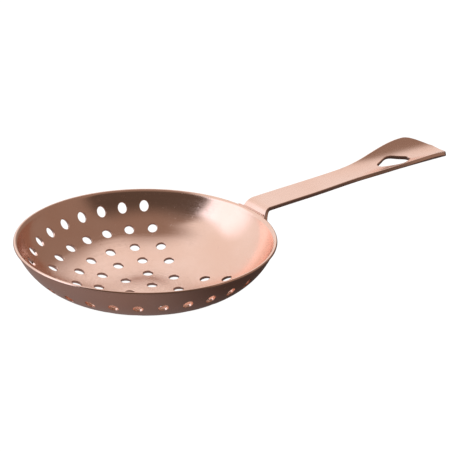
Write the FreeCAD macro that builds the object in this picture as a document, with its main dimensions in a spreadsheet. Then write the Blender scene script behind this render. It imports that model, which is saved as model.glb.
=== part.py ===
import FreeCAD, Part
import math
import os
import Sketcher
from FreeCAD import Vector

# A julep strainer: one pressed and punched sheet bowl, one strip handle, and the two weld
# beads that join them.
#
# Frame: +Z up, the handle runs along +X, and the origin is the centre of the bowl's flat
# underside. Lengths are millimetres and angles are degrees.

DIMENSIONS = {
    # bowl: its section runs flat foot, dome, shoulder, flare and lip
    "sheet_thickness": 0.9,
    "foot_radius": 7.0,
    "dome_radius": 55.5,
    "dome_slope": 24.0,
    "shoulder_radius": 21.5,
    "wall_slope": 68.7,
    "flare_radius": 1.1,
    "lip_slope": 18.0,
    "lip_length": 0.35,
    "rim_round": 0.3,
    # strainer holes: punched in rings in the flat blank, before the bowl is pressed
    "hole_diameter": 3.3,
    "pattern_shift": 2.45,
    "pattern_turn": 6.0,
    # handle: a bent strip that hugs the bowl's wall, parts from it and steps up past the lip
    "strip_thickness": 1.4,
    "foot_clearance": 0.02,
    "foot_low_slope": 52.0,
    "foot_high_slope": 66.0,
    "foot_half_width": 8.2,
    "foot_corner_radius": 4.0,
    "parting_bend_radius": 0.85,
    "tuck_slope": 32.0,
    "tuck_length": 0.2,
    "tuck_bend_radius": 1.0,
    "riser_slope": 62.0,
    "riser_length": 2.18,
    "crease_bend_radius": 2.4,
    "shank_slope": 3.85,
    "arch_radius": 1460.0,
    "shank_end": 60.0,
    "shank_half_width": 5.25,
    "shank_fillet_start": 42.1,
    "shank_fillet_radius": 3.0,
    # tail: a dished leaf with a hanging eye
    "neck_position": 79.7,
    "neck_half_width": 4.97,
    "leaf_position": 112.2,
    "leaf_half_width": 9.3,
    "tip_position": 122.3,
    "tip_half_width": 1.0,
    "dish_full": 99.0,
    "dish_radius": 13.65,
    "eye_start": 96.5,
    "eye_start_radius": 1.75,
    "eye_middle": 101.8,
    "eye_middle_radius": 4.1,
    "eye_end": 106.4,
    "eye_end_radius": 1.85,
    # weld beads down both sides of the foot
    "bead_radius": 1.1,
    "bead_lift": 0.3,
    "bead_y": 8.4,
    "bead_low_slope": 57.0,
    "bead_high_slope": 66.0,
}

# Rings of holes around the centre hole, from the inside out: how far out the ring is punched
# in the blank, how many holes it has, and the angle from the pattern's axis to its first
# hole. A ring whose first angle is zero is a full circle; the others stop short of the handle.
RINGS = (
    (9.1, 6, 0.0),
    (17.3, 11, 32.5),
    (24.5, 14, 44.2),
    (32.8, 19, 51.0),
    (41.2, 23, 55.3),
)

# Where the tail's sections stand, as fractions of each stretch between two named positions.
NECK_STATIONS = (0.25, 0.5, 0.75, 1.0)
LEAF_STATIONS = (0.15, 0.3, 0.45, 0.6, 0.75, 0.9, 1.0)
TIP_STATIONS = (0.25, 0.45, 0.62, 0.76, 0.87, 0.95, 1.0)
TIP_FULLNESS = 0.57
LEAST_DISH = 0.004
BEAD_DROPS = 5

UP = Vector(0, 0, 1)
ORIGIN = (-1, 1)
ACROSS_AXIS = -1
UPRIGHT_AXIS = -2
FAR = 30.0

SHEET_HALF = "dims.sheet_thickness / 2"
STRIP_HALF = "dims.strip_thickness / 2"
STAND_OFF = f"({SHEET_HALF} + {STRIP_HALF} + dims.foot_clearance)"

# The middle line of each bent sheet, in order. Each entry is a name, the length of a straight
# or the radius of a bend, and the angle a bend turns upwards (a straight has none).
BOWL_COURSE = (
    ("foot", "dims.foot_radius", None),
    ("dome", "dims.dome_radius", "dims.dome_slope"),
    ("shoulder", "dims.shoulder_radius", "dims.wall_slope - dims.dome_slope"),
    ("flare", "dims.flare_radius", "dims.lip_slope - dims.wall_slope"),
    ("lip", "dims.lip_length", None),
)
HANDLE_COURSE = (
    ("hug", f"dims.shoulder_radius + {STAND_OFF}", "dims.foot_high_slope - dims.foot_low_slope"),
    ("parting", "dims.parting_bend_radius", "dims.tuck_slope - dims.foot_high_slope"),
    ("tuck", "dims.tuck_length", None),
    ("tuck_bend", "dims.tuck_bend_radius", "dims.riser_slope - dims.tuck_slope"),
    ("riser", "dims.riser_length", None),
    ("crease", "dims.crease_bend_radius", "dims.shank_slope - dims.riser_slope"),
)
CROWN_X = "(side_section.Constraints.crown_x / 1 mm)"
CROWN_Z = "(side_section.Constraints.crown_z / 1 mm)"
SHOULDER_INWARD = "(dims.dome_radius - dims.shoulder_radius)"
SHOULDER_X = f"dims.foot_radius + {SHOULDER_INWARD} * sin(dims.dome_slope * 1 deg)"
SHOULDER_Z = (f"{SHEET_HALF} + dims.dome_radius"
              f" - {SHOULDER_INWARD} * cos(dims.dome_slope * 1 deg)")


def make_sheet(doc):
    """The spreadsheet that holds every driving dimension under its own alias."""
    sheet = doc.addObject("Spreadsheet::Sheet", "dims")
    for row, (alias, value) in enumerate(DIMENSIONS.items(), start=1):
        sheet.set(f"A{row}", alias)
        sheet.set(f"B{row}", str(value))
        sheet.setAlias(f"B{row}", alias)
    doc.recompute()
    return sheet


def measure(thing, formula):
    """The present value of a spreadsheet formula."""
    return float(thing.evalExpression(formula))


def polar(angle, length):
    radians = math.radians(angle)
    return Vector(length * math.cos(radians), length * math.sin(radians), 0)


def new_sketch(body, name, role):
    """A sketch on one of the body's own origin planes, such as XY_Plane."""
    sketch = body.newObject("Sketcher::SketchObject", name)
    plane = next(item for item in body.Origin.OriginFeatures if item.Role == role)
    sketch.AttachmentSupport = [(plane, "")]
    sketch.MapMode = "FlatFace"
    return sketch


def drive(sketch, name, kind, where, formula):
    """Add a named constraint whose value comes from the spreadsheet. Angles are degrees."""
    value = measure(sketch, formula)
    if kind == "Angle":
        value = math.radians(value)
        formula = f"({formula}) * 1 deg"
    index = sketch.addConstraint(Sketcher.Constraint(kind, *where, value))
    sketch.renameConstraint(index, name)
    sketch.setExpression(f"Constraints.{name}", formula)


def tie(sketch, kind, *where):
    sketch.addConstraint(Sketcher.Constraint(kind, *where))


def line_between(sketch, start, end):
    """A straight edge between two (geometry, vertex) places of a sketch."""
    line = Part.LineSegment(sketch.getPoint(*start), sketch.getPoint(*end))
    index = sketch.addGeometry(line, False)
    tie(sketch, "Coincident", index, 1, *start)
    tie(sketch, "Coincident", index, 2, *end)
    return index


class Walk:
    """A tangent chain of lines and arcs in a sketch, walked from a point along a heading."""

    def __init__(self, sketch, point, heading):
        self.sketch = sketch
        self.point = point
        self.heading = heading
        self.last = None

    def add(self, piece, first, last):
        """Add a piece that runs from its vertex number first to its vertex number last."""
        index = self.sketch.addGeometry(piece, False)
        if self.last:
            tie(self.sketch, "Tangent", *self.last, index, first)
        self.last = (index, last)
        return index

    def line(self, length):
        end = self.point + polar(self.heading, length)
        index = self.add(Part.LineSegment(self.point, end), 1, 2)
        self.point = end
        return index

    def arc(self, radius, turn):
        """Turn left for a positive angle and right for a negative one."""
        side = 90 if turn > 0 else -90
        centre = self.point + polar(self.heading + side, radius)
        begin = self.heading - side
        low, high = sorted((math.radians(begin), math.radians(begin + turn)))
        piece = Part.ArcOfCircle(Part.Circle(centre, UP, radius), low, high)
        index = self.add(piece, *((1, 2) if turn > 0 else (2, 1)))
        self.point = centre + polar(begin + turn, radius)
        self.heading += turn
        return index


def walk_skin(sketch, name, course, middle, heading, half_formula, side):
    """Walk one face of a bent sheet: side is +1 for its left face and -1 for its right."""
    half = measure(sketch, half_formula) * side
    walk = Walk(sketch, middle + polar(heading + 90, half), heading)
    indexes = {}
    for label, size_formula, turn_formula in course:
        size = measure(sketch, size_formula)
        if not turn_formula:
            indexes[label] = walk.line(size)
            drive(sketch, f"{name}_{label}", "Distance", (indexes[label],), size_formula)
            continue
        turn = measure(sketch, turn_formula)
        sign = -side if turn > 0 else side
        radius_formula = f"{size_formula} + ({sign}) * {half_formula}"
        indexes[label] = walk.arc(measure(sketch, radius_formula), turn)
        place = (indexes[label],)
        drive(sketch, f"{name}_{label}", "Radius", place, radius_formula)
        drive(sketch, f"{name}_{label}_turn", "Angle", place, f"abs({turn_formula})")
    return walk, indexes


def make_bowl_sheet(doc):
    """The pressed bowl before its holes: its section turned about Z, with a rounded rim."""
    body = doc.addObject("PartDesign::Body", "bowl_sheet")
    section = new_sketch(body, "bowl_section", "XZ_Plane")
    middle = Vector(0, measure(section, SHEET_HALF), 0)
    _, under = walk_skin(section, "under", BOWL_COURSE, middle, 0, SHEET_HALF, -1)
    _, inner = walk_skin(section, "inner", BOWL_COURSE, middle, 0, SHEET_HALF, 1)
    tie(section, "Coincident", under["foot"], 1, *ORIGIN)
    tie(section, "PointOnObject", inner["foot"], 1, UPRIGHT_AXIS)
    tie(section, "Horizontal", under["foot"])
    tie(section, "Horizontal", inner["foot"])
    drive(section, "sheet", "DistanceY", (under["foot"], 1, inner["foot"], 1),
          "dims.sheet_thickness")
    line_between(section, (under["foot"], 1), (inner["foot"], 1))
    line_between(section, (under["lip"], 2), (inner["lip"], 2))
    turned = body.newObject("PartDesign::Revolution", "bowl_turned")
    turned.Profile = section
    turned.ReferenceAxis = (section, ["V_Axis"])
    turned.Angle = 360
    doc.recompute()
    rounded = body.newObject("PartDesign::Fillet", "rim_rounded")
    rounded.Base = (turned, rim_edges(turned.Shape))
    rounded.setExpression("Radius", "dims.rim_round")
    body.Tip = rounded
    doc.recompute()
    return body


def rim_edges(shape):
    """The two circular edges of the lip's free end, which are the widest of the shape."""
    circles = []
    for number, edge in enumerate(shape.Edges, start=1):
        if isinstance(edge.Curve, Part.Circle) and edge.isClosed():
            circles.append((edge.Curve.Radius, f"Edge{number}"))
    return [name for _, name in sorted(circles)[-2:]]


def pressed(dims, reach):
    """Radius, height and slope on the bowl's middle surface at a distance along its sheet."""
    radius, height, slope = 0.0, measure(dims, SHEET_HALF), 0.0
    for _, size_formula, turn_formula in BOWL_COURSE:
        size = measure(dims, size_formula)
        if not turn_formula:
            step = min(size, reach)
            radius += step
            reach -= step
            continue
        full_turn = math.radians(measure(dims, turn_formula))
        step = min(full_turn * size, reach)
        reach -= step
        start, slope = slope, slope + step / size
        radius += size * (math.sin(slope) - math.sin(start))
        height += size * (math.cos(start) - math.cos(slope))
        if reach <= 0:
            break
    return radius, height, slope


def punch(dims, flat):
    """The slug of one hole: an ellipse square to the sheet where the blank's point lands.

    Pressing draws the sheet in, so a hole gets narrower around the bowl and longer down it.
    """
    radius, height, slope = pressed(dims, flat.Length)
    around = math.atan2(flat.y, flat.x)
    outward = Vector(math.cos(around), math.sin(around), 0)
    sideways = Vector(-math.sin(around), math.cos(around), 0)
    up_wall = outward * math.cos(slope) + UP * math.sin(slope)
    normal = UP * math.cos(slope) - outward * math.sin(slope)
    narrowing = min(radius / flat.Length, 0.999)
    half_across = dims.hole_diameter / 2 * narrowing
    half_along = dims.hole_diameter / 2 / narrowing**2
    centre = outward * radius + UP * height - normal * dims.sheet_thickness
    ellipse = Part.Ellipse(centre + up_wall * half_along, centre + sideways * half_across, centre)
    face = Part.Face(Part.Wire(ellipse.toShape()))
    return face.extrude(normal * 2 * dims.sheet_thickness)


def make_punches(doc):
    """Every slug of the ring pattern, which sits off the bowl's centre towards the handle."""
    dims = doc.dims
    shift = Vector(dims.pattern_shift, 0, 0)
    slugs = [punch(dims, shift)]
    for reach, count, first in RINGS:
        pitch = (360 - 2 * first) / (count - 1) if first else 360 / count
        for number in range(count):
            angle = dims.pattern_turn + first + number * pitch
            slugs.append(punch(dims, shift + polar(angle, reach)))
    punches = doc.addObject("Part::Feature", "hole_punches")
    punches.Shape = Part.makeCompound(slugs)
    return punches


def make_bowl(doc, bowl_sheet):
    bowl = doc.addObject("Part::Cut", "bowl")
    bowl.Base = bowl_sheet
    bowl.Tool = make_punches(doc)
    doc.recompute()
    return bowl


def make_side_section(body):
    """The side view of the foot and shank: both faces of the bent strip, and its two ends."""
    section = new_sketch(body, "side_section", "XZ_Plane")
    shoulder = Vector(measure(section, SHOULDER_X), measure(section, SHOULDER_Z), 0)
    heading = body.Document.dims.foot_low_slope
    middle = shoulder + polar(heading - 90, measure(section, HANDLE_COURSE[0][1]))
    arch_radius = body.Document.dims.arch_radius
    shank_end = body.Document.dims.shank_end
    faces = []
    for name, side in (("under", -1), ("upper", 1)):
        walk, face = walk_skin(section, name, HANDLE_COURSE, middle, heading, STRIP_HALF, side)
        arch_turn = math.degrees((shank_end - walk.point.x) / arch_radius)
        face["arch"] = walk.arc(arch_radius + side * measure(section, STRIP_HALF), -arch_turn)
        drive(section, f"{name}_arch", "Radius", (face["arch"],),
              f"dims.arch_radius + ({side}) * {STRIP_HALF}")
        faces.append(face)
    under, upper = faces
    tie(section, "Coincident", under["hug"], 3, upper["hug"], 3)
    drive(section, "shoulder_x", "DistanceX", (*ORIGIN, under["hug"], 3), SHOULDER_X)
    drive(section, "shoulder_z", "DistanceY", (*ORIGIN, under["hug"], 3), SHOULDER_Z)
    low_end = line_between(section, (under["hug"], 1), (upper["hug"], 1))
    tie(section, "PointOnObject", under["hug"], 3, low_end)
    drive(section, "low_end", "Angle", (low_end,), "dims.foot_low_slope + 90")
    square_end = line_between(section, (under["arch"], 1), (upper["arch"], 1))
    tie(section, "Vertical", square_end)
    drive(section, "square_end", "DistanceX", (*ORIGIN, square_end, 1), "dims.shank_end")
    crown = section.getPoint(upper["arch"], 3)
    for name, kind, value in (("crown_x", "DistanceX", crown.x), ("crown_z", "DistanceY", crown.y)):
        index = section.addConstraint(Sketcher.Constraint(kind, *ORIGIN, upper["arch"], 3, value))
        section.setDriving(index, False)
        section.renameConstraint(index, name)
    return section


def make_strip(body):
    """The foot and shank: the side view made as wide as the foot."""
    strip = body.newObject("PartDesign::Pad", "strip")
    strip.Profile = make_side_section(body)
    strip.SideType = "Symmetric"
    strip.setExpression("Length", "2 * dims.foot_half_width")
    body.Document.recompute()
    round_foot_corners(body, strip)
    return strip


def round_foot_corners(body, strip):
    """Round the two low corners of the foot."""
    wide = body.Document.dims.foot_half_width
    thick = body.Document.dims.strip_thickness
    low_end_limit = strip.Shape.BoundBox.XMin + thick
    corners = []
    for number, edge in enumerate(strip.Shape.Edges, start=1):
        middle = edge.CenterOfMass
        through_sheet = abs(edge.Length - thick) < 1e-3 and abs(abs(middle.y) - wide) < 1e-3
        if through_sheet and middle.x < low_end_limit:
            corners.append(f"Edge{number}")
    rounded = body.newObject("PartDesign::Fillet", "foot_rounded")
    rounded.Base = (strip, corners)
    rounded.setExpression("Radius", "dims.foot_corner_radius")
    body.Document.recompute()


def cut_upward(body, sketch, name):
    """Cut a ground-plan sketch up through everything, and make sure it took metal away."""
    before = body.Shape.Volume
    pocket = body.newObject("PartDesign::Pocket", name)
    pocket.Profile = sketch
    pocket.Type = "ThroughAll"
    pocket.Reversed = True
    body.Document.recompute()
    if not body.Shape.Volume < before - 1:
        raise ValueError(f"{name} cut nothing")


def narrow_shank(body):
    """Cut both sides of the strip back to the shank's width, with a round inner corner."""
    plan = new_sketch(body, "shank_sides", "XY_Plane")
    start = Vector(measure(plan, "dims.shank_fillet_start"), 0, 0)
    radius = measure(plan, "dims.shank_fillet_radius")
    for name, side in (("left", 1), ("right", -1)):
        corner = start + Vector(radius, side * measure(plan, "dims.foot_half_width"), 0)
        begin = math.radians(180 if side > 0 else 90)
        circle = Part.Circle(corner, UP, radius)
        arc = plan.addGeometry(Part.ArcOfCircle(circle, begin, begin + math.pi / 2), False)
        outer, inner = (1, 2) if side > 0 else (2, 1)
        far_x = measure(plan, "dims.shank_end") + 1
        edge_y = corner.y - side * radius
        far_y = corner.y + side * FAR
        corners = (Vector(far_x, edge_y, 0), Vector(far_x, far_y, 0), Vector(start.x, far_y, 0))
        points = (plan.getPoint(arc, inner), *corners, plan.getPoint(arc, outer))
        sides = [plan.addGeometry(Part.LineSegment(a, b), False)
                 for a, b in zip(points, points[1:])]
        for first, second in zip(sides, sides[1:]):
            tie(plan, "Coincident", first, 2, second, 1)
        tie(plan, "Tangent", arc, inner, sides[0], 1)
        tie(plan, "Tangent", arc, outer, sides[3], 2)
        tie(plan, "Horizontal", sides[0])
        tie(plan, "Vertical", sides[1])
        tie(plan, "Horizontal", sides[2])
        tie(plan, "Vertical", sides[3])
        drive(plan, f"{name}_round", "Radius", (arc,), "dims.shank_fillet_radius")
        drive(plan, f"{name}_start", "DistanceX", (*ORIGIN, sides[3], 1),
              "dims.shank_fillet_start")
        drive(plan, f"{name}_edge", "DistanceY", (*ORIGIN, sides[0], 1),
              f"({side}) * dims.shank_half_width")
        drive(plan, f"{name}_end", "DistanceX", (*ORIGIN, sides[0], 2), "dims.shank_end + 1")
        drive(plan, f"{name}_far", "DistanceY", (*ORIGIN, sides[1], 2),
              f"({side}) * (dims.foot_half_width + {FAR})")
    cut_upward(body, plan, "shank_narrowed")


def blend(first, second, weight):
    return f"{first} + ({second} - {first}) * {weight:.5f}"


def eased(fraction):
    return (1 - math.cos(math.pi * fraction)) / 2


def tail_stations():
    """Position and half width of every section of the tail, as spreadsheet formulas."""
    shank = ("dims.shank_end", "dims.shank_half_width")
    neck = ("dims.neck_position", "dims.neck_half_width")
    leaf = ("dims.leaf_position", "dims.leaf_half_width")
    tip = ("dims.tip_position", "dims.tip_half_width")
    stations = []
    for start, end, parts in ((shank, neck, NECK_STATIONS), (neck, leaf, LEAF_STATIONS)):
        for part in parts:
            stations.append((blend(start[0], end[0], part), blend(start[1], end[1], eased(part))))
    for part in TIP_STATIONS:
        fullness = max(math.cos(math.pi / 2 * part), 0) ** TIP_FULLNESS
        stations.append((blend(leaf[0], tip[0], part), blend(tip[1], leaf[1], fullness)))
    return stations


def make_flat_end(body):
    """The tail's first section: the square end of the shank."""
    section = new_sketch(body, "tail_section_0", "YZ_Plane")
    section.setExpression("AttachmentOffset.Base.z", "dims.shank_end")
    wide = "dims.shank_half_width"
    heights = []
    for side in (-1, 1):
        radius = f"(dims.arch_radius + ({side}) * {STRIP_HALF})"
        along = f"(dims.shank_end - {CROWN_X})"
        heights.append(f"{CROWN_Z} + sqrt({radius}^2 - {along}^2)")
    low, high = (measure(section, height) for height in heights)
    reach = measure(section, wide)
    corners = ((-reach, low), (reach, low), (reach, high), (-reach, high))
    points = [Vector(y, z, 0) for y, z in corners]
    sides = [section.addGeometry(Part.LineSegment(a, b), False)
             for a, b in zip(points, points[1:] + points[:1])]
    for first, second in zip(sides, sides[1:] + sides[:1]):
        tie(section, "Coincident", first, 2, second, 1)
    for number, kind in enumerate(("Horizontal", "Vertical", "Horizontal", "Vertical")):
        tie(section, kind, sides[number])
    drive(section, "left", "DistanceX", (*ORIGIN, sides[1], 1), wide)
    drive(section, "right", "DistanceX", (sides[0], 1, *ORIGIN), wide)
    drive(section, "low", "DistanceY", (*ORIGIN, sides[0], 1), heights[0])
    drive(section, "high", "DistanceY", (*ORIGIN, sides[2], 1), heights[1])
    return section


def make_tail_section(body, number, position, half_width):
    """One dished section across the tail: two arcs about one centre, closed by short ends."""
    section = new_sketch(body, f"tail_section_{number}", "YZ_Plane")
    section.setExpression("AttachmentOffset.Base.z", position)
    along = f"({position} - {CROWN_X})"
    arch = f"(dims.arch_radius + {STRIP_HALF})"
    top = f"{CROWN_Z} + sqrt({arch}^2 - {along}^2)"
    progress = f"({position} - dims.shank_end) / (dims.dish_full - dims.shank_end)"
    dish = f"max((1 - cos(180 deg * min(max({progress}; 0); 1))) / 2; {LEAST_DISH})"
    inner_radius = f"dims.dish_radius / {dish}"
    outer_radius = f"({inner_radius} + dims.strip_thickness)"
    radius = measure(section, inner_radius)
    thick = measure(section, "dims.strip_thickness")
    reach = math.asin(measure(section, half_width) / radius)
    centre = Vector(0, measure(section, top) + radius, 0)
    arcs = []
    for size in (radius, radius + thick):
        circle = Part.Circle(centre, UP, size)
        down = -math.pi / 2
        arcs.append(section.addGeometry(Part.ArcOfCircle(circle, down - reach, down + reach), False))
    inner, outer = arcs
    tie(section, "Coincident", inner, 3, outer, 3)
    tie(section, "PointOnObject", inner, 3, UPRIGHT_AXIS)
    left = line_between(section, (outer, 1), (inner, 1))
    right = line_between(section, (outer, 2), (inner, 2))
    tie(section, "PointOnObject", inner, 3, left)
    tie(section, "PointOnObject", inner, 3, right)
    drive(section, "inner_radius", "Radius", (inner,), inner_radius)
    drive(section, "outer_radius", "Radius", (outer,), outer_radius)
    drive(section, "centre_height", "DistanceY", (*ORIGIN, inner, 3), f"{top} + {inner_radius}")
    drive(section, "left_reach", "DistanceX", (inner, 1, *ORIGIN), half_width)
    drive(section, "right_reach", "DistanceX", (*ORIGIN, inner, 2), half_width)
    return section


def make_tail(body):
    """The tapering, dished tail, lofted on from the square end of the shank."""
    sections = [make_flat_end(body)]
    for number, (position, half_width) in enumerate(tail_stations(), start=1):
        sections.append(make_tail_section(body, number, position, half_width))
    body.Document.recompute()
    tail = body.newObject("PartDesign::AdditiveLoft", "tail")
    tail.Profile = sections[0]
    tail.Sections = sections[1:]
    body.Document.recompute()


def make_eye(body):
    """The hanging eye: a leaf-shaped hole drawn tightly round three circles on the middle."""
    plan = new_sketch(body, "eye_outline", "XY_Plane")
    names = ("eye_start", "eye_middle", "eye_end")
    along = [measure(plan, f"dims.{name}") for name in names]
    radii = [measure(plan, f"dims.{name}_radius") for name in names]
    gaps = [along[1] - along[0], along[2] - along[1]]
    leans = [math.degrees(math.acos((radii[n] - radii[n + 1]) / gaps[n])) for n in (0, 1)]
    straights = [gap * math.sin(math.radians(lean)) for gap, lean in zip(gaps, leans)]
    walk = Walk(plan, Vector(along[0], 0, 0) + polar(leans[0], radii[0]), leans[0] - 90)
    first = walk.line(straights[0])
    top = walk.arc(radii[1], leans[1] - leans[0])
    walk.line(straights[1])
    end = walk.arc(radii[2], -2 * leans[1])
    walk.line(straights[1])
    bottom = walk.arc(radii[1], leans[1] - leans[0])
    walk.line(straights[0])
    start = walk.arc(radii[0], 2 * leans[0] - 360)
    tie(plan, "Tangent", *walk.last, first, 1)
    tie(plan, "Coincident", top, 3, bottom, 3)
    tie(plan, "Equal", top, bottom)
    for name, arc in zip(names, (start, top, end)):
        tie(plan, "PointOnObject", arc, 3, ACROSS_AXIS)
        drive(plan, f"{name}_place", "DistanceX", (*ORIGIN, arc, 3), f"dims.{name}")
        drive(plan, f"{name}_round", "Radius", (arc,), f"dims.{name}_radius")
    cut_upward(body, plan, "eye")


def make_handle(doc):
    body = doc.addObject("PartDesign::Body", "handle")
    make_strip(body)
    narrow_shank(body)
    make_tail(body)
    make_eye(body)
    return body


def make_weld_bead(doc, name, side, neighbours):
    """A bead of weld along one side of the foot: a row of merged drops climbing the bowl's wall.

    The drops are cut back so that the bead only touches the bowl and the handle.
    """
    drops = []
    for number in range(BEAD_DROPS):
        climb = blend("dims.bead_low_slope", "dims.bead_high_slope", number / (BEAD_DROPS - 1))
        reach = f"(dims.shoulder_radius + {SHEET_HALF} + dims.bead_lift)"
        drop = doc.addObject("Part::Sphere", f"{name}_drop_{number}")
        drop.setExpression("Radius", "dims.bead_radius * 1 mm")
        drop.setExpression("Placement.Base.x", f"{SHOULDER_X} + {reach} * sin(({climb}) * 1 deg)")
        drop.setExpression("Placement.Base.y", f"({side}) * dims.bead_y")
        drop.setExpression("Placement.Base.z", f"{SHOULDER_Z} - {reach} * cos(({climb}) * 1 deg)")
        drops.append(drop)
    shape = doc.addObject("Part::MultiFuse", f"{name}_drops")
    shape.Shapes = drops
    for neighbour in neighbours:
        cut = doc.addObject("Part::Cut", f"{name}_less_{neighbour.Name}")
        cut.Base = shape
        cut.Tool = neighbour
        shape = cut
    shape.Label = name
    doc.recompute()
    return shape


def check(doc, pieces):
    """Stop if anything failed to build or if two pieces run into each other."""
    for item in doc.Objects:
        if "Invalid" in item.State or "Error" in item.State:
            raise ValueError(f"{item.Name} did not build: {item.State}")
    for piece in pieces:
        if piece.Shape.isNull() or not piece.Shape.isValid() or len(piece.Shape.Solids) != 1:
            raise ValueError(f"{piece.Label} is not one sound solid")
    for number, piece in enumerate(pieces):
        for other in pieces[number + 1:]:
            overlap = piece.Shape.common(other.Shape).Volume
            print(piece.Label, other.Label, "overlap", round(overlap, 6))
            if overlap > 1e-3:
                raise ValueError(f"{piece.Label} runs into {other.Label}")


def main():
    doc = FreeCAD.newDocument("julep_strainer")
    make_sheet(doc)
    bowl_sheet = make_bowl_sheet(doc)
    bowl = make_bowl(doc, bowl_sheet)
    handle = make_handle(doc)
    beads = [make_weld_bead(doc, f"weld_bead_{name}", side, (bowl_sheet, handle))
             for name, side in (("left", 1), ("right", -1))]
    pieces = [bowl, handle, *beads]
    doc.recompute()
    check(doc, pieces)
    os.makedirs("parts", exist_ok=True)
    for piece in pieces:
        piece.Shape.exportStep(f"parts/{piece.Label}.step")
        print(piece.Label, "volume", round(piece.Shape.Volume, 2))


main()
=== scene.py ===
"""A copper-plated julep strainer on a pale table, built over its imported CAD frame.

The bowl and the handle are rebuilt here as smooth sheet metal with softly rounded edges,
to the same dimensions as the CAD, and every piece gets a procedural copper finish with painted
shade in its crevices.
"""
import bisect
import math

import bpy
from mathutils import Matrix, Vector
from mathutils.geometry import delaunay_2d_cdt

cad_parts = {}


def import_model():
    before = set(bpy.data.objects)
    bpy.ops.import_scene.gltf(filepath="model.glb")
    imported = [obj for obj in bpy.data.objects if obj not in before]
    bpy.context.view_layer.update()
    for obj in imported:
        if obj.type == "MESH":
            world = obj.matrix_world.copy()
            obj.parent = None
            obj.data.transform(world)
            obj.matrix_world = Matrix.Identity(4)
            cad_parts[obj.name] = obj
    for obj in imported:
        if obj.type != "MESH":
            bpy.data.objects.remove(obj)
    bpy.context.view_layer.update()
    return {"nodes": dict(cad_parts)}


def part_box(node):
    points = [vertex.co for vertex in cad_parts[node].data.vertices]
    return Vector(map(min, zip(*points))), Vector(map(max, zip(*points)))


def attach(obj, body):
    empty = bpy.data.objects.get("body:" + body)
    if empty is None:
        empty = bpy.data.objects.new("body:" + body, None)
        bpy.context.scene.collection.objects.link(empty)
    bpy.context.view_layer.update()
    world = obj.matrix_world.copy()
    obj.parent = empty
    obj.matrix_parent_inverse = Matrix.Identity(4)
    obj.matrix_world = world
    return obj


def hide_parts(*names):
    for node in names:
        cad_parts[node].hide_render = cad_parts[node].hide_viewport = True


MM = 0.001
UP = Vector((0, 0, 1))

# Bowl, in millimetres and degrees: its middle line runs foot, dome, shoulder, flare, lip.
SHEET = 0.9
FOOT_RADIUS = 7.0
DOME_RADIUS, DOME_SLOPE = 55.5, 24.0
SHOULDER_RADIUS, WALL_SLOPE = 21.5, 68.7
FLARE_RADIUS, LIP_SLOPE = 1.1, 18.0
LIP_LENGTH = 0.35
RIM_ROUND = 0.38
HOLE_ROUND = 0.16

# Holes, punched in rings in the flat blank: distance from the pattern's centre, number of
# holes, and the angle from the pattern's axis to the first one.
RINGS = ((9.1, 6, 0.0), (17.3, 11, 32.5), (24.5, 14, 44.2), (32.8, 19, 51.0), (41.2, 23, 55.3))
HOLE_RADIUS = 1.65
PATTERN_SHIFT = 2.45
PATTERN_TURN = 6.0
MOST_NARROWING = 0.999

# Handle: a strip that hugs the bowl's wall, steps up past the lip and levels.
STRIP = 1.4
STRIP_ROUND = 0.28
FOOT_CLEARANCE = 0.02
FOOT_LOW_SLOPE, FOOT_HIGH_SLOPE = 52.0, 66.0
FOOT_HALF_WIDTH = 8.2
FOOT_CORNER = 4.0
PARTING_BEND = 0.85
TUCK_SLOPE, TUCK_LENGTH, TUCK_BEND = 32.0, 0.2, 1.0
RISER_LENGTH, RISER_SLOPE = 2.18, 62.0
CREASE_BEND = 2.4
SHANK_SLOPE = 3.85
ARCH_RADIUS = 1460.0
FILLET_START, FILLET_RADIUS = 42.1, 3.0
SHANK_END, SHANK_HALF_WIDTH = 60.0, 5.25
NECK_X, NECK_HALF_WIDTH = 79.7, 4.97
LEAF_X, LEAF_HALF_WIDTH = 112.2, 9.3
TIP_X, TIP_HALF_WIDTH, TIP_FULLNESS = 122.3, 1.0, 0.57
DISH_FULL, DISH_RADIUS = 99.0, 13.65
EYE = ((96.5, 1.75), (101.8, 4.1), (106.4, 1.85))

# How finely the sheets are meshed: counts of points and of steps, and in millimetres the
# spacing of the inner points and how far they keep from the edges.
NUDGE = 0.01
MERGE_GAP = 1e-5
EDGE_SLICES = 4
RIM_POINTS = 300
HOLE_POINTS = 28
HOLE_COLLAR = 0.42
HOLE_MARGIN = 0.75
BOWL_SPACING, RING_TWIST = 1.15, 1.7
LIP_SPACING, LIP_STEP = 0.9, 0.16
LIP_START, LIP_MARGIN = 0.6, 0.1
STRIP_SPACING = 0.9
STRIP_STEP, STRAIGHT_STEP, BEND_STEP_DEGREES = 0.7, 0.5, 5
STRIP_MARGIN, FOOT_MARGIN, LOOK_AHEAD = 0.45, 0.8, 0.4
CORNER_STEPS, CORNER_GAP = 8, 0.3
TIP_CORNER, TIP_STEPS = 1.2, 6
EYE_STEPS, EYE_GAP = (6, 10, 8), 0.7


# ---------------------------------------------------------------- sheet metal

def bend_course(start, heading, course):
    """The pieces of a bent line: (start distance, length, turn in radians, point, heading).

    The course lists (length, 0) for a straight and (radius, degrees) for a bend that turns
    upwards by that many degrees.
    """
    pieces, distance, point = [], 0.0, Vector(start)
    for size, degrees in course:
        turn = math.radians(degrees)
        length = abs(turn) * size if turn else size
        pieces.append((distance, length, turn, point.copy(), heading))
        point, heading = along_piece(pieces[-1], length)
        distance += length
    return pieces, distance


def along_piece(piece, step):
    """Point and heading at a step along one straight or bend."""
    _, length, turn, point, heading = piece
    if not turn:
        return point + Vector((math.cos(heading), math.sin(heading))) * step, heading
    radius = length / turn
    after = heading + step / radius
    moved = Vector((math.sin(after) - math.sin(heading), math.cos(heading) - math.cos(after)))
    return point + moved * radius, after


def along_course(pieces, distance):
    """Point and heading at a distance along a bent line."""
    starts = [piece[0] for piece in pieces]
    number = max(bisect.bisect_right(starts, distance) - 1, 0)
    return along_piece(pieces[number], distance - pieces[number][0])


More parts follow.
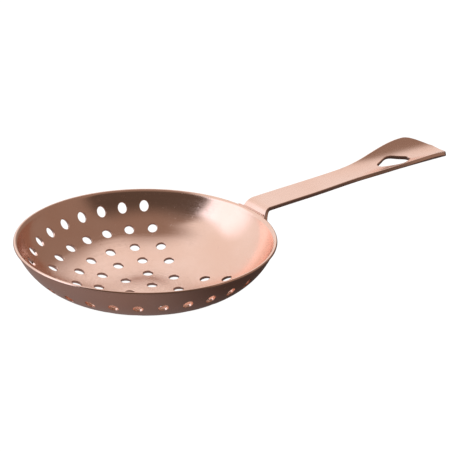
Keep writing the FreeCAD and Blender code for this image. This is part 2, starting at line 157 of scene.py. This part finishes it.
def outward_normals(loop):
    """The unit directions that point to the right of a closed loop of 2-D points."""
    normals = []
    for number in range(len(loop)):
        step = loop[(number + 1) % len(loop)] - loop[number - 1]
        normals.append(Vector((step.y, -step.x)).normalized())
    return normals


def sheet_normal(place, point):
    """The direction square to the bent sheet's upper face."""
    along = place(point + Vector((NUDGE, 0))) - place(point - Vector((NUDGE, 0)))
    across = place(point + Vector((0, NUDGE))) - place(point - Vector((0, NUDGE)))
    return along.cross(across).normalized()


def add_piece(name, vertices, faces):
    """Add a smooth-shaded mesh to the scene, with its vertices in metres."""
    mesh = bpy.data.meshes.new(name)
    mesh.from_pydata(vertices, [], faces)
    mesh.update()
    mesh.shade_smooth()
    piece = bpy.data.objects.new(name, mesh)
    bpy.context.scene.collection.objects.link(piece)
    return piece


def fill_flat_sheet(loops, edge_normals, fillers, rounding):
    """Triangles that fill the flat sheet up to where its edges start to round.

    Gives the points, the faces, and the numbers of the points along each loop.
    """
    points, loop_ids, edges = [], [], []
    for loop, normals, radius in zip(loops, edge_normals, rounding):
        first = len(points)
        points += [point - normal * radius for point, normal in zip(loop, normals)]
        count = len(loop)
        loop_ids.append(range(first, first + count))
        edges += [(first + n, first + (n + 1) % count) for n in range(count)]
    points += fillers
    outside = list(loop_ids[0])
    flat, _, faces, origins, _, _ = delaunay_2d_cdt(points, edges, [outside], 1, MERGE_GAP)
    new_id = {old: new for new, olds in enumerate(origins) for old in olds}
    loop_ids = [[new_id[n] for n in ids] for ids in loop_ids]
    hole_of = {n: number for number, ids in enumerate(loop_ids) if number for n in ids}

    def in_hole(face):
        return len({hole_of.get(n, -n - 1) for n in face}) == 1

    return flat, [face for face in faces if not in_hole(face)], loop_ids


def edge_steps(radius, thickness):
    """Steps round a rounded edge, from the upper face to the lower one.

    Each step is how far out it stands as a share of the radius, how deep it lies, and the
    share of its normal that is the sheet's own.
    """
    turns = [math.pi / 2 * k / EDGE_SLICES for k in range(1, EDGE_SLICES + 1)]
    upper = [(math.sin(t), radius * (1 - math.cos(t)), math.cos(t)) for t in turns]
    return upper + [(side, thickness - depth, -share) for side, depth, share in reversed(upper)]


def sheet_metal(name, loops, fillers, place, thickness, rounding):
    """A closed sheet with rounded edges, drawn flat and bent by place(point).

    The first loop is the outline, counter-clockwise, and the others are holes, clockwise.
    Points and sizes are millimetres. Every vertex carries its exact normal.
    """
    edge_normals = [outward_normals(loop) for loop in loops]
    flat, faces, loop_ids = fill_flat_sheet(loops, edge_normals, fillers, rounding)
    positions, normals, polygons = [], [], []
    for point in flat:
        normal = sheet_normal(place, point)
        positions.append(place(point) + normal * thickness / 2)
        normals.append(normal)
    under = len(positions)
    for number in range(under):
        positions.append(positions[number] - normals[number] * thickness)
        normals.append(-normals[number])
    polygons += [tuple(face) for face in faces]
    polygons += [tuple(under + n for n in reversed(face)) for face in faces]
    for loop, out, ids, radius in zip(loops, edge_normals, loop_ids, rounding):
        rings = [ids]
        for side, depth, face_share in edge_steps(radius, thickness):
            ring = []
            for point, direction in zip(loop, out):
                flat_point = point - direction * radius
                normal = sheet_normal(place, flat_point)
                middle = place(flat_point)
                beyond = place(flat_point + direction * NUDGE) - middle
                outward = (beyond - normal * beyond.dot(normal)).normalized()
                position = middle + normal * (thickness / 2 - depth) + outward * radius * side
                ring.append(len(positions))
                positions.append(position)
                normals.append((normal * face_share + outward * side).normalized())
            rings.append(ring)
        rings.append([under + n for n in ids])
        for upper, lower in zip(rings, rings[1:]):
            for n in range(len(upper)):
                following = (n + 1) % len(upper)
                polygons.append((upper[n], lower[n], lower[following], upper[following]))
    piece = add_piece(name, [position * MM for position in positions], polygons)
    piece.data.normals_split_custom_set_from_vertices(normals)
    return piece


# ---------------------------------------------------------------- bowl

BOWL_COURSE = (
    (FOOT_RADIUS, 0),
    (DOME_RADIUS, DOME_SLOPE),
    (SHOULDER_RADIUS, WALL_SLOPE - DOME_SLOPE),
    (FLARE_RADIUS, LIP_SLOPE - WALL_SLOPE),
    (LIP_LENGTH, 0),
)
BOWL_LINE, BOWL_REACH = bend_course((0, SHEET / 2), 0, BOWL_COURSE)


def place_on_bowl(point):
    """Where a point of the flat blank lands once the bowl is pressed."""
    reach = max(point.length, 1e-6)
    (radius, height), _ = along_course(BOWL_LINE, reach)
    return Vector((point.x / reach * radius, point.y / reach * radius, height))


def hole_outline(centre, stretch):
    """A punched hole in the blank, longer down the wall where the sheet was drawn most."""
    downhill = centre.normalized()
    sideways = Vector((-downhill.y, downhill.x))
    loop = []
    for number in range(HOLE_POINTS):
        turn = -2 * math.pi * number / HOLE_POINTS
        loop.append(centre + downhill * math.cos(turn) * HOLE_RADIUS * stretch
                    + sideways * math.sin(turn) * HOLE_RADIUS)
    return loop


def bowl_holes():
    """Centre and stretch of every hole in the blank.

    Pressing narrows the blank the more, the further out it is, and the stretch makes up for it.
    """
    centres = [Vector((PATTERN_SHIFT, 0))]
    for reach, count, first in RINGS:
        pitch = (360 - 2 * first) / (count - 1) if first else 360 / count
        for number in range(count):
            angle = math.radians(PATTERN_TURN + first + number * pitch)
            x = PATTERN_SHIFT + reach * math.cos(angle)
            centres.append(Vector((x, reach * math.sin(angle))))
    holes = []
    for centre in centres:
        narrowing = along_course(BOWL_LINE, centre.length)[0].x / centre.length
        holes.append((centre, 1 / min(narrowing, MOST_NARROWING)**2))
    return holes


def ring_of_points(reach, spacing):
    """Evenly spaced points round the blank, with each ring turned against the last."""
    count = max(round(2 * math.pi * reach / spacing), 1)
    offset = reach * RING_TWIST
    return [Vector((reach * math.cos(offset + 2 * math.pi * n / count),
                    reach * math.sin(offset + 2 * math.pi * n / count))) for n in range(count)]


def clear_of_holes(point, holes, margin):
    """Whether a point of the blank keeps the margin from every hole's edge."""
    for centre, stretch in holes:
        gap = point - centre
        if gap.length < HOLE_RADIUS * stretch + margin:
            downhill = centre.normalized()
            along = gap.dot(downhill) / (HOLE_RADIUS * stretch + margin)
            across = gap.cross(downhill) / (HOLE_RADIUS + margin)
            if along * along + across * across < 1:
                return False
    return True


def make_bowl():
    holes = bowl_holes()
    outline = [Vector((BOWL_REACH * math.cos(a), BOWL_REACH * math.sin(a)))
               for a in (2 * math.pi * n / RIM_POINTS for n in range(RIM_POINTS))]
    loops = [outline] + [hole_outline(centre, stretch) for centre, stretch in holes]
    flare_start = BOWL_LINE[3][0]
    fillers = []
    for number in range(1, int((flare_start - 1) / BOWL_SPACING) + 1):
        ring = ring_of_points(number * BOWL_SPACING, BOWL_SPACING)
        fillers += [point for point in ring if clear_of_holes(point, holes, HOLE_MARGIN)]
    for centre, stretch in holes:
        for point in hole_outline(centre, stretch):
            fillers.append(centre + (point - centre) * (1 + HOLE_COLLAR / HOLE_RADIUS))
    reach = flare_start - LIP_START
    while reach < BOWL_REACH - RIM_ROUND - LIP_MARGIN:
        ring = ring_of_points(reach, LIP_SPACING)
        fillers += [point for point in ring if clear_of_holes(point, holes, HOLE_MARGIN)]
        reach += LIP_STEP
    rounding = [RIM_ROUND] + [HOLE_ROUND] * len(holes)
    return sheet_metal("bowl_pressed", loops, fillers, place_on_bowl, SHEET, rounding)


# ---------------------------------------------------------------- handle

STAND_OFF = (SHEET + STRIP) / 2 + FOOT_CLEARANCE
HUG_RADIUS = SHOULDER_RADIUS + STAND_OFF
HANDLE_COURSE = (
    (HUG_RADIUS, FOOT_HIGH_SLOPE - FOOT_LOW_SLOPE),
    (PARTING_BEND, TUCK_SLOPE - FOOT_HIGH_SLOPE),
    (TUCK_LENGTH, 0),
    (TUCK_BEND, RISER_SLOPE - TUCK_SLOPE),
    (RISER_LENGTH, 0),
    (CREASE_BEND, SHANK_SLOPE - RISER_SLOPE),
    (ARCH_RADIUS, -SHANK_SLOPE),
)


def shoulder_centre():
    """The centre of the bend of the bowl's shoulder, as (distance from the axis, height)."""
    slope = math.radians(DOME_SLOPE)
    inward = DOME_RADIUS - SHOULDER_RADIUS
    return Vector((FOOT_RADIUS + inward * math.sin(slope),
                   SHEET / 2 + DOME_RADIUS - inward * math.cos(slope)))


LOW = math.radians(FOOT_LOW_SLOPE)
HANDLE_START = shoulder_centre() + Vector((math.sin(LOW), -math.cos(LOW))) * HUG_RADIUS
HANDLE_LINE, HANDLE_REACH = bend_course(HANDLE_START, LOW, HANDLE_COURSE)


def dish_curve(x):
    """How sharply the middle of the sheet is dished across the strip, per millimetre."""
    progress = min(max((x - SHANK_END) / (DISH_FULL - SHANK_END), 0), 1)
    if progress == 0:
        return 0.0
    return 1 / (DISH_RADIUS / eased(0, 1, progress) + STRIP / 2)


def eased(start, end, progress):
    """A smooth change from start to end that begins and ends level."""
    return start + (end - start) * (1 - math.cos(math.pi * progress)) / 2


def place_on_handle(point):
    """Where a point of the flat strip lands: the distance along it and the distance across."""
    middle, _ = along_course(HANDLE_LINE, point.x)
    x, z = middle
    curve = dish_curve(x)
    bent = curve * point.y
    rise = bent * point.y / (1 + math.sqrt(max(1 - bent * bent, 0)))
    return Vector((x, point.y, z + rise))


def strip_distance(x):
    """The distance along the strip at which its middle line passes over x."""
    low, high = 0.0, HANDLE_REACH
    for _ in range(40):
        middle = (low + high) / 2
        if along_course(HANDLE_LINE, middle)[0].x < x:
            low = middle
        else:
            high = middle
    return low


def half_width(x):
    """Half the strip's width at its middle layer: a dished sheet is wider underneath."""
    return upper_half_width(x) * (1 + STRIP / 2 * dish_curve(x))


def upper_half_width(x):
    """Half the strip's width along its upper face."""
    if x < FILLET_START:
        return FOOT_HALF_WIDTH
    if x < FILLET_START + FILLET_RADIUS:
        inset = FILLET_START + FILLET_RADIUS - x
        return FOOT_HALF_WIDTH - math.sqrt(max(FILLET_RADIUS**2 - inset**2, 0))
    if x < SHANK_END:
        return SHANK_HALF_WIDTH
    if x < NECK_X:
        return eased(SHANK_HALF_WIDTH, NECK_HALF_WIDTH, (x - SHANK_END) / (NECK_X - SHANK_END))
    if x < LEAF_X:
        return eased(NECK_HALF_WIDTH, LEAF_HALF_WIDTH, (x - NECK_X) / (LEAF_X - NECK_X))
    fullness = max(math.cos(math.pi / 2 * (x - LEAF_X) / (TIP_X - LEAF_X)), 0) ** TIP_FULLNESS
    return TIP_HALF_WIDTH + (LEAF_HALF_WIDTH - TIP_HALF_WIDTH) * fullness


def stations():
    """Distances along the strip, closer together where it bends tightly."""
    found = []
    for start, length, turn, _, _ in HANDLE_LINE[:-1]:
        steps = max(math.ceil(abs(math.degrees(turn)) / BEND_STEP_DEGREES),
                    math.ceil(length / STRAIGHT_STEP))
        found += [start + length * n / steps for n in range(steps)]
    arch_start = HANDLE_LINE[-1][0]
    x = along_course(HANDLE_LINE, arch_start)[0].x
    while x < TIP_X - TIP_CORNER:
        found.append(strip_distance(x))
        x += STRIP_STEP
    return found


def handle_edge():
    """The strip's right-hand edge from the foot's corner to the tip, as (s, half width)."""
    edge = []
    for number in range(CORNER_STEPS + 1):
        turn = math.pi / 2 * number / CORNER_STEPS
        edge.append(Vector((FOOT_CORNER * (1 - math.cos(turn)),
                            FOOT_HALF_WIDTH - FOOT_CORNER * (1 - math.sin(turn)))))
    for distance in stations():
        x = along_course(HANDLE_LINE, distance)[0].x
        if distance > FOOT_CORNER + CORNER_GAP:
            edge.append(Vector((distance, half_width(x))))
    corner_x = TIP_X - TIP_CORNER
    for number in range(1, TIP_STEPS):
        turn = math.pi / 2 * number / TIP_STEPS
        edge.append(Vector((strip_distance(corner_x + TIP_CORNER * math.sin(turn)),
                            half_width(corner_x) * math.cos(turn))))
    return edge


def eye_outline():
    """The leaf-shaped hanging eye, drawn tightly round its three circles, clockwise."""
    upper = []
    (x0, r0), (x1, r1), (x2, r2) = EYE
    first = math.acos((r0 - r1) / (x1 - x0))
    second = math.acos((r1 - r2) / (x2 - x1))
    spans = ((x0, r0, math.pi, first), (x1, r1, first, second), (x2, r2, second, 0))
    for (x, radius, begin, end), steps in zip(spans, EYE_STEPS):
        for number in range(steps + 1):
            turn = begin + (end - begin) * number / steps
            upper.append(Vector((x + radius * math.cos(turn), radius * math.sin(turn))))
    upper = spread(upper, EYE_GAP)
    lower = [Vector((point.x, -point.y)) for point in reversed(upper[1:-1])]
    return [Vector((strip_distance(point.x), point.y)) for point in upper + lower]


def spread(points, gap):
    """The same open line with extra points so that no step is longer than the gap."""
    line = [points[0]]
    for start, end in zip(points, points[1:]):
        steps = max(math.ceil((end - start).length / gap), 1)
        line += [start.lerp(end, n / steps) for n in range(1, steps + 1)]
    return line


def inside_loop(point, loop):
    """Whether a flat point lies inside a closed loop."""
    crossings = 0
    for start, end in zip(loop, loop[1:] + loop[:1]):
        if (start.y > point.y) != (end.y > point.y):
            share = (point.y - start.y) / (end.y - start.y)
            crossings += start.x + (end.x - start.x) * share > point.x
    return crossings % 2 == 1


def make_handle():
    edge = handle_edge()
    across_foot = [Vector((0, STRIP_SPACING * n)) for n in range(4, -5, -1)]
    tip = [Vector((strip_distance(TIP_X), 0))]
    right = [Vector((point.x, -point.y)) for point in edge]
    outline = right + tip + list(reversed(edge)) + across_foot
    eye = eye_outline()
    wide_eye = [point - normal * STRIP_MARGIN for point, normal in zip(eye, outward_normals(eye))]
    fillers = list(wide_eye[::2])
    for distance in stations():
        x = along_course(HANDLE_LINE, distance)[0].x
        narrowest = min(half_width(x), half_width(x + LOOK_AHEAD))
        room = narrowest - STRIP_ROUND - STRIP_MARGIN
        if distance < FOOT_CORNER + CORNER_GAP:
            inset = max(FOOT_CORNER - distance, 0)
            corner = math.sqrt(FOOT_CORNER**2 - inset**2)
            room = FOOT_HALF_WIDTH - FOOT_CORNER + corner - FOOT_MARGIN
        if distance < STRAIGHT_STEP:
            continue
        steps = max(math.ceil(2 * room / STRIP_SPACING), 2)
        for number in range(steps + 1):
            point = Vector((distance, -room + 2 * room * number / steps))
            if not inside_loop(point, wide_eye):
                fillers.append(point)
    rounding = [STRIP_ROUND, STRIP_ROUND]
    return sheet_metal("handle_strip", [outline, eye], fillers, place_on_handle, STRIP, rounding)


# ---------------------------------------------------------------- weld seam

SEAM_HALF_SPAN = 7.5
SEAM_RADIUS = 0.22
SEAM_TAPER = 0.6
SEAM_OUT, SEAM_UP = 0.12, 0.35
# Drops on the seam: where each lies across the handle, and its radius.
SEAM_DROPS = ((-7.3, 0.42), (-4.9, 0.5))
SEAM_DROP_SPREAD = 0.5


def make_weld_seam():
    """A thin line of weld between the lip and the handle's riser, with two small drops."""
    rim = BOWL_LINE[-1][3].x + LIP_LENGTH
    height = BOWL_LINE[-1][3].y
    steps, sides = 80, 10
    vertices, faces = [], []
    for number in range(steps + 1):
        y = -SEAM_HALF_SPAN + 2 * SEAM_HALF_SPAN * number / steps
        radius = SEAM_RADIUS
        for drop_y, drop_radius in SEAM_DROPS:
            share = math.exp(-((y - drop_y) / SEAM_DROP_SPREAD) ** 2)
            radius += (drop_radius - SEAM_RADIUS) * share
        end = min(1.0, (SEAM_HALF_SPAN - abs(y)) / SEAM_TAPER)
        radius *= math.sqrt(max(1 - (1 - end) ** 2, 0.01))
        x = math.sqrt(rim**2 - y**2) + SEAM_OUT
        for side in range(sides):
            turn = 2 * math.pi * side / sides
            vertices.append(Vector((x + radius * math.cos(turn), y,
                                    height + SEAM_UP + radius * math.sin(turn))) * MM)
    for number in range(steps):
        for side in range(sides):
            here, beside = number * sides + side, number * sides + (side + 1) % sides
            faces.append((here, here + sides, beside + sides, beside))
    faces.append(tuple(range(sides)))
    faces.append(tuple(reversed(range(steps * sides, (steps + 1) * sides))))
    return add_piece("weld_seam", vertices, faces)


# ---------------------------------------------------------------- materials

COPPER_LIGHT = (0.96, 0.67, 0.56, 1)
COPPER_DEEP = (0.92, 0.61, 0.49, 1)
WELD_LIGHT = (0.82, 0.56, 0.47, 1)

# How far the polishing grain is drawn out round the bowl and along the strip.
TURNED_STRETCH, STRIP_STRETCH = 0.0006, 0.03
# Noise scales, per metre, of the drifting tint and of the scuffs, and how much a scuff roughens.
DRIFT_SCALE, SCUFF_SCALE = 55.0, 900.0
SCUFF_ROUGHNESS = 0.12
# Painted shade: crevices narrower than this get their colour darkened to the given share, as if
# shade fell there.
CREVICE_PAINTED_SHADE_WIDTH, CREVICE_PAINTED_SHADE = 1.2 * MM, 0.85
GRAIN_DEPTH = 0.02 * MM
# The stretch of each pattern's values over which its effect comes in.
TINT_SPAN, GRAIN_SPAN, SCUFF_SPAN, CREVICE_PAINTED_SHADE_SPAN = (0.35, 0.68), (0.3, 0.7), (0.55, 0.8), (0.25, 0.8)


class Nodes:
    """Short helpers for building a node tree."""

    def __init__(self, tree):
        self.tree = tree

    def add(self, kind, **settings):
        node = self.tree.nodes.new(kind)
        for name, value in settings.items():
            setattr(node, name, value)
        return node

    def link(self, source, target):
        self.tree.links.new(source, target)

    def math(self, operation, first, second=0.0):
        node = self.add("ShaderNodeMath", operation=operation)
        for socket, value in zip(node.inputs, (first, second)):
            self.feed(socket, value)
        return node.outputs[0]

    def feed(self, socket, value):
        if isinstance(value, bpy.types.NodeSocket):
            self.link(value, socket)
        else:
            socket.default_value = value

    def noise(self, vector, scale, detail=3.0, roughness=0.55):
        node = self.add("ShaderNodeTexNoise")
        self.link(vector, node.inputs["Vector"])
        node.inputs["Scale"].default_value = scale
        node.inputs["Detail"].default_value = detail
        node.inputs["Roughness"].default_value = roughness
        return node.outputs["Fac"]

    def map_range(self, value, low, high, to_low, to_high):
        node = self.add("ShaderNodeMapRange")
        for socket, number in zip(node.inputs[1:5], (low, high, to_low, to_high)):
            socket.default_value = number
        self.link(value, node.inputs[0])
        return node.outputs[0]

    def rise(self, value, low, high):
        """0 below low, 1 above high, and smooth between; low above high falls instead."""
        node = self.add("ShaderNodeMapRange", interpolation_type="SMOOTHSTEP")
        flip = low > high
        node.inputs[1].default_value = min(low, high)
        node.inputs[2].default_value = max(low, high)
        node.inputs[3].default_value = 1.0 if flip else 0.0
        node.inputs[4].default_value = 0.0 if flip else 1.0
        self.link(value, node.inputs[0])
        return node.outputs[0]

    def mix(self, factor, first, second):
        node = self.add("ShaderNodeMix", data_type="RGBA")
        self.feed(node.inputs[0], factor)
        self.feed(node.inputs[6], first)
        self.feed(node.inputs[7], second)
        return node.outputs[2]


def along_the_polish(nodes, place, turned):
    """Coordinates in which the grain is drawn out round the bowl's axis, or along the strip."""
    split = nodes.add("ShaderNodeSeparateXYZ")
    nodes.link(place, split.inputs[0])
    x, y, z = split.outputs
    if turned:
        squares = nodes.math("ADD", nodes.math("MULTIPLY", x, x), nodes.math("MULTIPLY", y, y))
        around = nodes.math("MULTIPLY", nodes.math("ARCTAN2", y, x), TURNED_STRETCH)
        drawn = (nodes.math("SQRT", squares), z, around)
    else:
        drawn = (nodes.math("MULTIPLY", x, STRIP_STRETCH), y,
                 nodes.math("MULTIPLY", z, STRIP_STRETCH))
    joined = nodes.add("ShaderNodeCombineXYZ")
    for value, socket in zip(drawn, joined.inputs):
        nodes.link(value, socket)
    return joined.outputs[0]


def copper(name, light, smooth, rough, grain, relief, turned=False):
    """Copper plating with polishing grain, a drifting tint, faint scuffs and painted shade
    darkening its crevices.

    A turned piece was polished round its axis, and the others along their length. The grain
    varies the roughness between smooth and rough, and relief is the strength of its bump.
    """
    material = bpy.data.materials.new(name)
    material.use_nodes = True
    nodes = Nodes(material.node_tree)
    shader = material.node_tree.nodes["Principled BSDF"]
    place = nodes.add("ShaderNodeTexCoord").outputs["Object"]
    fine = nodes.noise(along_the_polish(nodes, place, turned), grain, 2.0)
    drift = nodes.noise(place, DRIFT_SCALE, 4.0)
    scuffs = nodes.noise(place, SCUFF_SCALE, 2.0)
    tint = nodes.mix(nodes.map_range(drift, *TINT_SPAN, 0.0, 1.0), light, COPPER_DEEP)
    # Painted shade: ambient occlusion darkens the base colour in narrow crevices.
    painted_shade_occlusion = nodes.add("ShaderNodeAmbientOcclusion", samples=4)
    painted_shade_occlusion.inputs["Distance"].default_value = CREVICE_PAINTED_SHADE_WIDTH
    painted_shade = nodes.map_range(painted_shade_occlusion.outputs["AO"], *CREVICE_PAINTED_SHADE_SPAN, CREVICE_PAINTED_SHADE, 1.0)
    painted_shade_mix = nodes.add("ShaderNodeMix", data_type="RGBA", blend_type="MULTIPLY")
    painted_shade_mix.inputs[0].default_value = 1.0
    nodes.link(tint, painted_shade_mix.inputs[6])
    nodes.link(painted_shade, painted_shade_mix.inputs[7])
    nodes.link(painted_shade_mix.outputs[2], shader.inputs["Base Color"])
    roughness = nodes.math("ADD", nodes.map_range(fine, *GRAIN_SPAN, smooth, rough),
                           nodes.map_range(scuffs, *SCUFF_SPAN, 0.0, SCUFF_ROUGHNESS))
    nodes.link(roughness, shader.inputs["Roughness"])
    shader.inputs["Metallic"].default_value = 1.0
    bump = nodes.add("ShaderNodeBump")
    bump.inputs["Strength"].default_value = relief
    bump.inputs["Distance"].default_value = GRAIN_DEPTH
    nodes.link(fine, bump.inputs["Height"])
    nodes.link(bump.outputs[0], shader.inputs["Normal"])
    return material


def dress(piece, material, stands_for=None):
    """Give a piece its finish, tie it to the frame and hide the CAD part it stands for."""
    piece.data.materials.clear()
    piece.data.materials.append(material)
    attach(piece, "root")
    if stands_for:
        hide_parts(stands_for)


# ---------------------------------------------------------------- studio

# The floor: its width, its own colour, its glow as the camera sees it, and its glow in
# reflections, with painted light on the object's lit side and painted shadow on its dim side,
# and how far to the camera's right that glow starts and ends dimming. Lengths are metres.
FLOOR_WIDTH = 12.0
FLOOR_COLOUR = (0.06, 0.05, 0.047, 1)
FLOOR_SEEN = (1, 1, 1, 1)
FLOOR_PAINTED_LIGHT = (0.19, 0.155, 0.15, 1)
FLOOR_PAINTED_SHADOW = (0.03, 0.022, 0.020, 1)
FLOOR_PAINTED_LIGHT_TO, FLOOR_PAINTED_SHADOW_FROM = -0.015, 0.045

# The room, and its dark part behind the camera: the bearings over which it starts, to either
# side, and the heights over which it ends.
ROOM_COLOUR = (0.29, 0.215, 0.175, 1)
DARK_COLOUR = (0.10, 0.075, 0.06, 1)
DARK_BEARINGS = (112, 128)
DARK_HEIGHTS = (72, 38)

# Each panel: bearing and softness of its left side, of its right side at the horizon, and of
# its top, and its colour. The right sides lean outwards by so many degrees per degree of height.
PANEL_LEAN = 0.3
PANELS = (
    (-112, 8, 8.5, 9, 68, 10, (0.92, 0.90, 0.89, 1)),
    (-121, 4, -79, 14, 44, 6, (1.38, 1.48, 1.68, 1)),
)

# The camera. Its azimuth is how far the level direction away from it is turned round +Z, from
# +Y, and the studio turns with it.
CAMERA_AZIMUTH = -35.05
CAMERA_PLACE = Vector((-295.3, -465.3, 255.4)) * MM
CAMERA_AIM = Vector((26.87, -6.07, 18.09)) * MM
CAMERA_ROLL = 0.94
FOCAL_LENGTH, SENSOR_WIDTH = 150.16, 36.0


def make_floor(height):
    """A wide pale table: white to the camera, and in reflections a glow of painted light on the
    left fading to painted shadow on the right.
    """
    half = FLOOR_WIDTH / 2
    corners = ((-half, -half), (half, -half), (half, half), (-half, half))
    floor = add_piece("floor", [(x, y, height) for x, y in corners], [(0, 1, 2, 3)])
    material = bpy.data.materials.new("pale_table")
    material.use_nodes = True
    nodes = Nodes(material.node_tree)
    shader = material.node_tree.nodes["Principled BSDF"]
    place = nodes.add("ShaderNodeTexCoord").outputs["Object"]
    shader.inputs["Roughness"].default_value = 0.6
    shader.inputs["Base Color"].default_value = FLOOR_COLOUR
    # Painted light and shadow: in reflections the floor glows lit on the camera's left and dim on
    # its right, where the object's shadow would fall.
    _, right = view_axes(CAMERA_AZIMUTH)
    across = nodes.add("ShaderNodeVectorMath", operation="DOT_PRODUCT")
    nodes.link(place, across.inputs[0])
    across.inputs[1].default_value = right
    painted_shade = nodes.rise(across.outputs["Value"], FLOOR_PAINTED_LIGHT_TO, FLOOR_PAINTED_SHADOW_FROM)
    painted_light_and_shadow = nodes.mix(painted_shade, FLOOR_PAINTED_LIGHT, FLOOR_PAINTED_SHADOW)
    seen = nodes.add("ShaderNodeLightPath").outputs["Is Camera Ray"]
    glow = nodes.add("ShaderNodeEmission")
    nodes.link(nodes.mix(seen, painted_light_and_shadow, FLOOR_SEEN), glow.inputs["Color"])
    total = nodes.add("ShaderNodeAddShader")
    nodes.link(shader.outputs[0], total.inputs[0])
    nodes.link(glow.outputs[0], total.inputs[1])
    output = material.node_tree.nodes["Material Output"]
    nodes.link(total.outputs[0], output.inputs["Surface"])
    floor.data.materials.append(material)


def view_axes(azimuth):
    """Level directions away from the camera and to its right."""
    turn = math.radians(azimuth)
    away = Vector((-math.sin(turn), math.cos(turn), 0))
    return away, Vector((away.y, -away.x, 0))


def light_studio():
    """A studio of large soft panels: bright ahead and to the left, dim to the right and behind.

    Angles are degrees: bearing 0 is straight away from the camera and 90 to its right.
    """
    away, right = view_axes(CAMERA_AZIMUTH)
    world = bpy.data.worlds.new("studio")
    bpy.context.scene.world = world
    world.use_nodes = True
    nodes = Nodes(world.node_tree)
    background = world.node_tree.nodes["Background"]
    direction = nodes.add("ShaderNodeTexCoord").outputs["Generated"]

    def towards(axis):
        dot = nodes.add("ShaderNodeVectorMath", operation="DOT_PRODUCT")
        nodes.link(direction, dot.inputs[0])
        dot.inputs[1].default_value = axis
        return dot.outputs["Value"]

    bearing = nodes.math("DEGREES", nodes.math("ARCTAN2", towards(right), towards(away)))
    height = nodes.math("DEGREES", nodes.math("ARCSINE", towards(UP)))
    leaning = nodes.math("SUBTRACT", bearing, nodes.math("MULTIPLY", height, PANEL_LEAN))
    behind = nodes.math("MULTIPLY", nodes.rise(nodes.math("ABSOLUTE", bearing), *DARK_BEARINGS),
                        nodes.rise(height, *DARK_HEIGHTS))
    colour = nodes.mix(behind, ROOM_COLOUR, DARK_COLOUR)
    for left, left_soft, end, end_soft, top, top_soft, panel in PANELS:
        share = nodes.math("MULTIPLY", nodes.rise(bearing, left - left_soft, left + left_soft),
                           nodes.rise(leaning, end + end_soft, end - end_soft))
        share = nodes.math("MULTIPLY", share, nodes.rise(height, top + top_soft, top - top_soft))
        colour = nodes.mix(share, colour, panel)
    nodes.link(colour, background.inputs["Color"])


def make_camera():
    camera = bpy.data.cameras.new("camera")
    camera.lens = FOCAL_LENGTH
    camera.sensor_width = SENSOR_WIDTH
    stand = bpy.data.objects.new("camera", camera)
    bpy.context.scene.collection.objects.link(stand)
    stand.location = CAMERA_PLACE
    facing = (CAMERA_AIM - CAMERA_PLACE).to_track_quat("-Z", "Y").to_matrix().to_4x4()
    stand.rotation_mode = "QUATERNION"
    roll = Matrix.Rotation(math.radians(CAMERA_ROLL), 4, "Z")
    stand.rotation_quaternion = (facing @ roll).to_quaternion()
    bpy.context.scene.camera = stand


def main():
    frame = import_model()
    bowl_finish = copper("bowl_copper", COPPER_LIGHT, 0.13, 0.22, 2600.0, 0.12, turned=True)
    handle_finish = copper("handle_copper", COPPER_LIGHT, 0.23, 0.27, 5200.0, 0.01)
    weld_finish = copper("weld_copper", WELD_LIGHT, 0.30, 0.42, 3000.0, 0.12)
    dress(make_bowl(), bowl_finish, "bowl")
    dress(make_handle(), handle_finish, "handle")
    dress(make_weld_seam(), weld_finish)
    for name in ("weld_bead_left", "weld_bead_right"):
        bead = frame["nodes"][name]
        bead.data.materials.clear()
        bead.data.materials.append(weld_finish)
    make_floor(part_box("bowl")[0].z)
    light_studio()
    make_camera()
    bpy.context.scene.view_settings.view_transform = "Standard"


main()
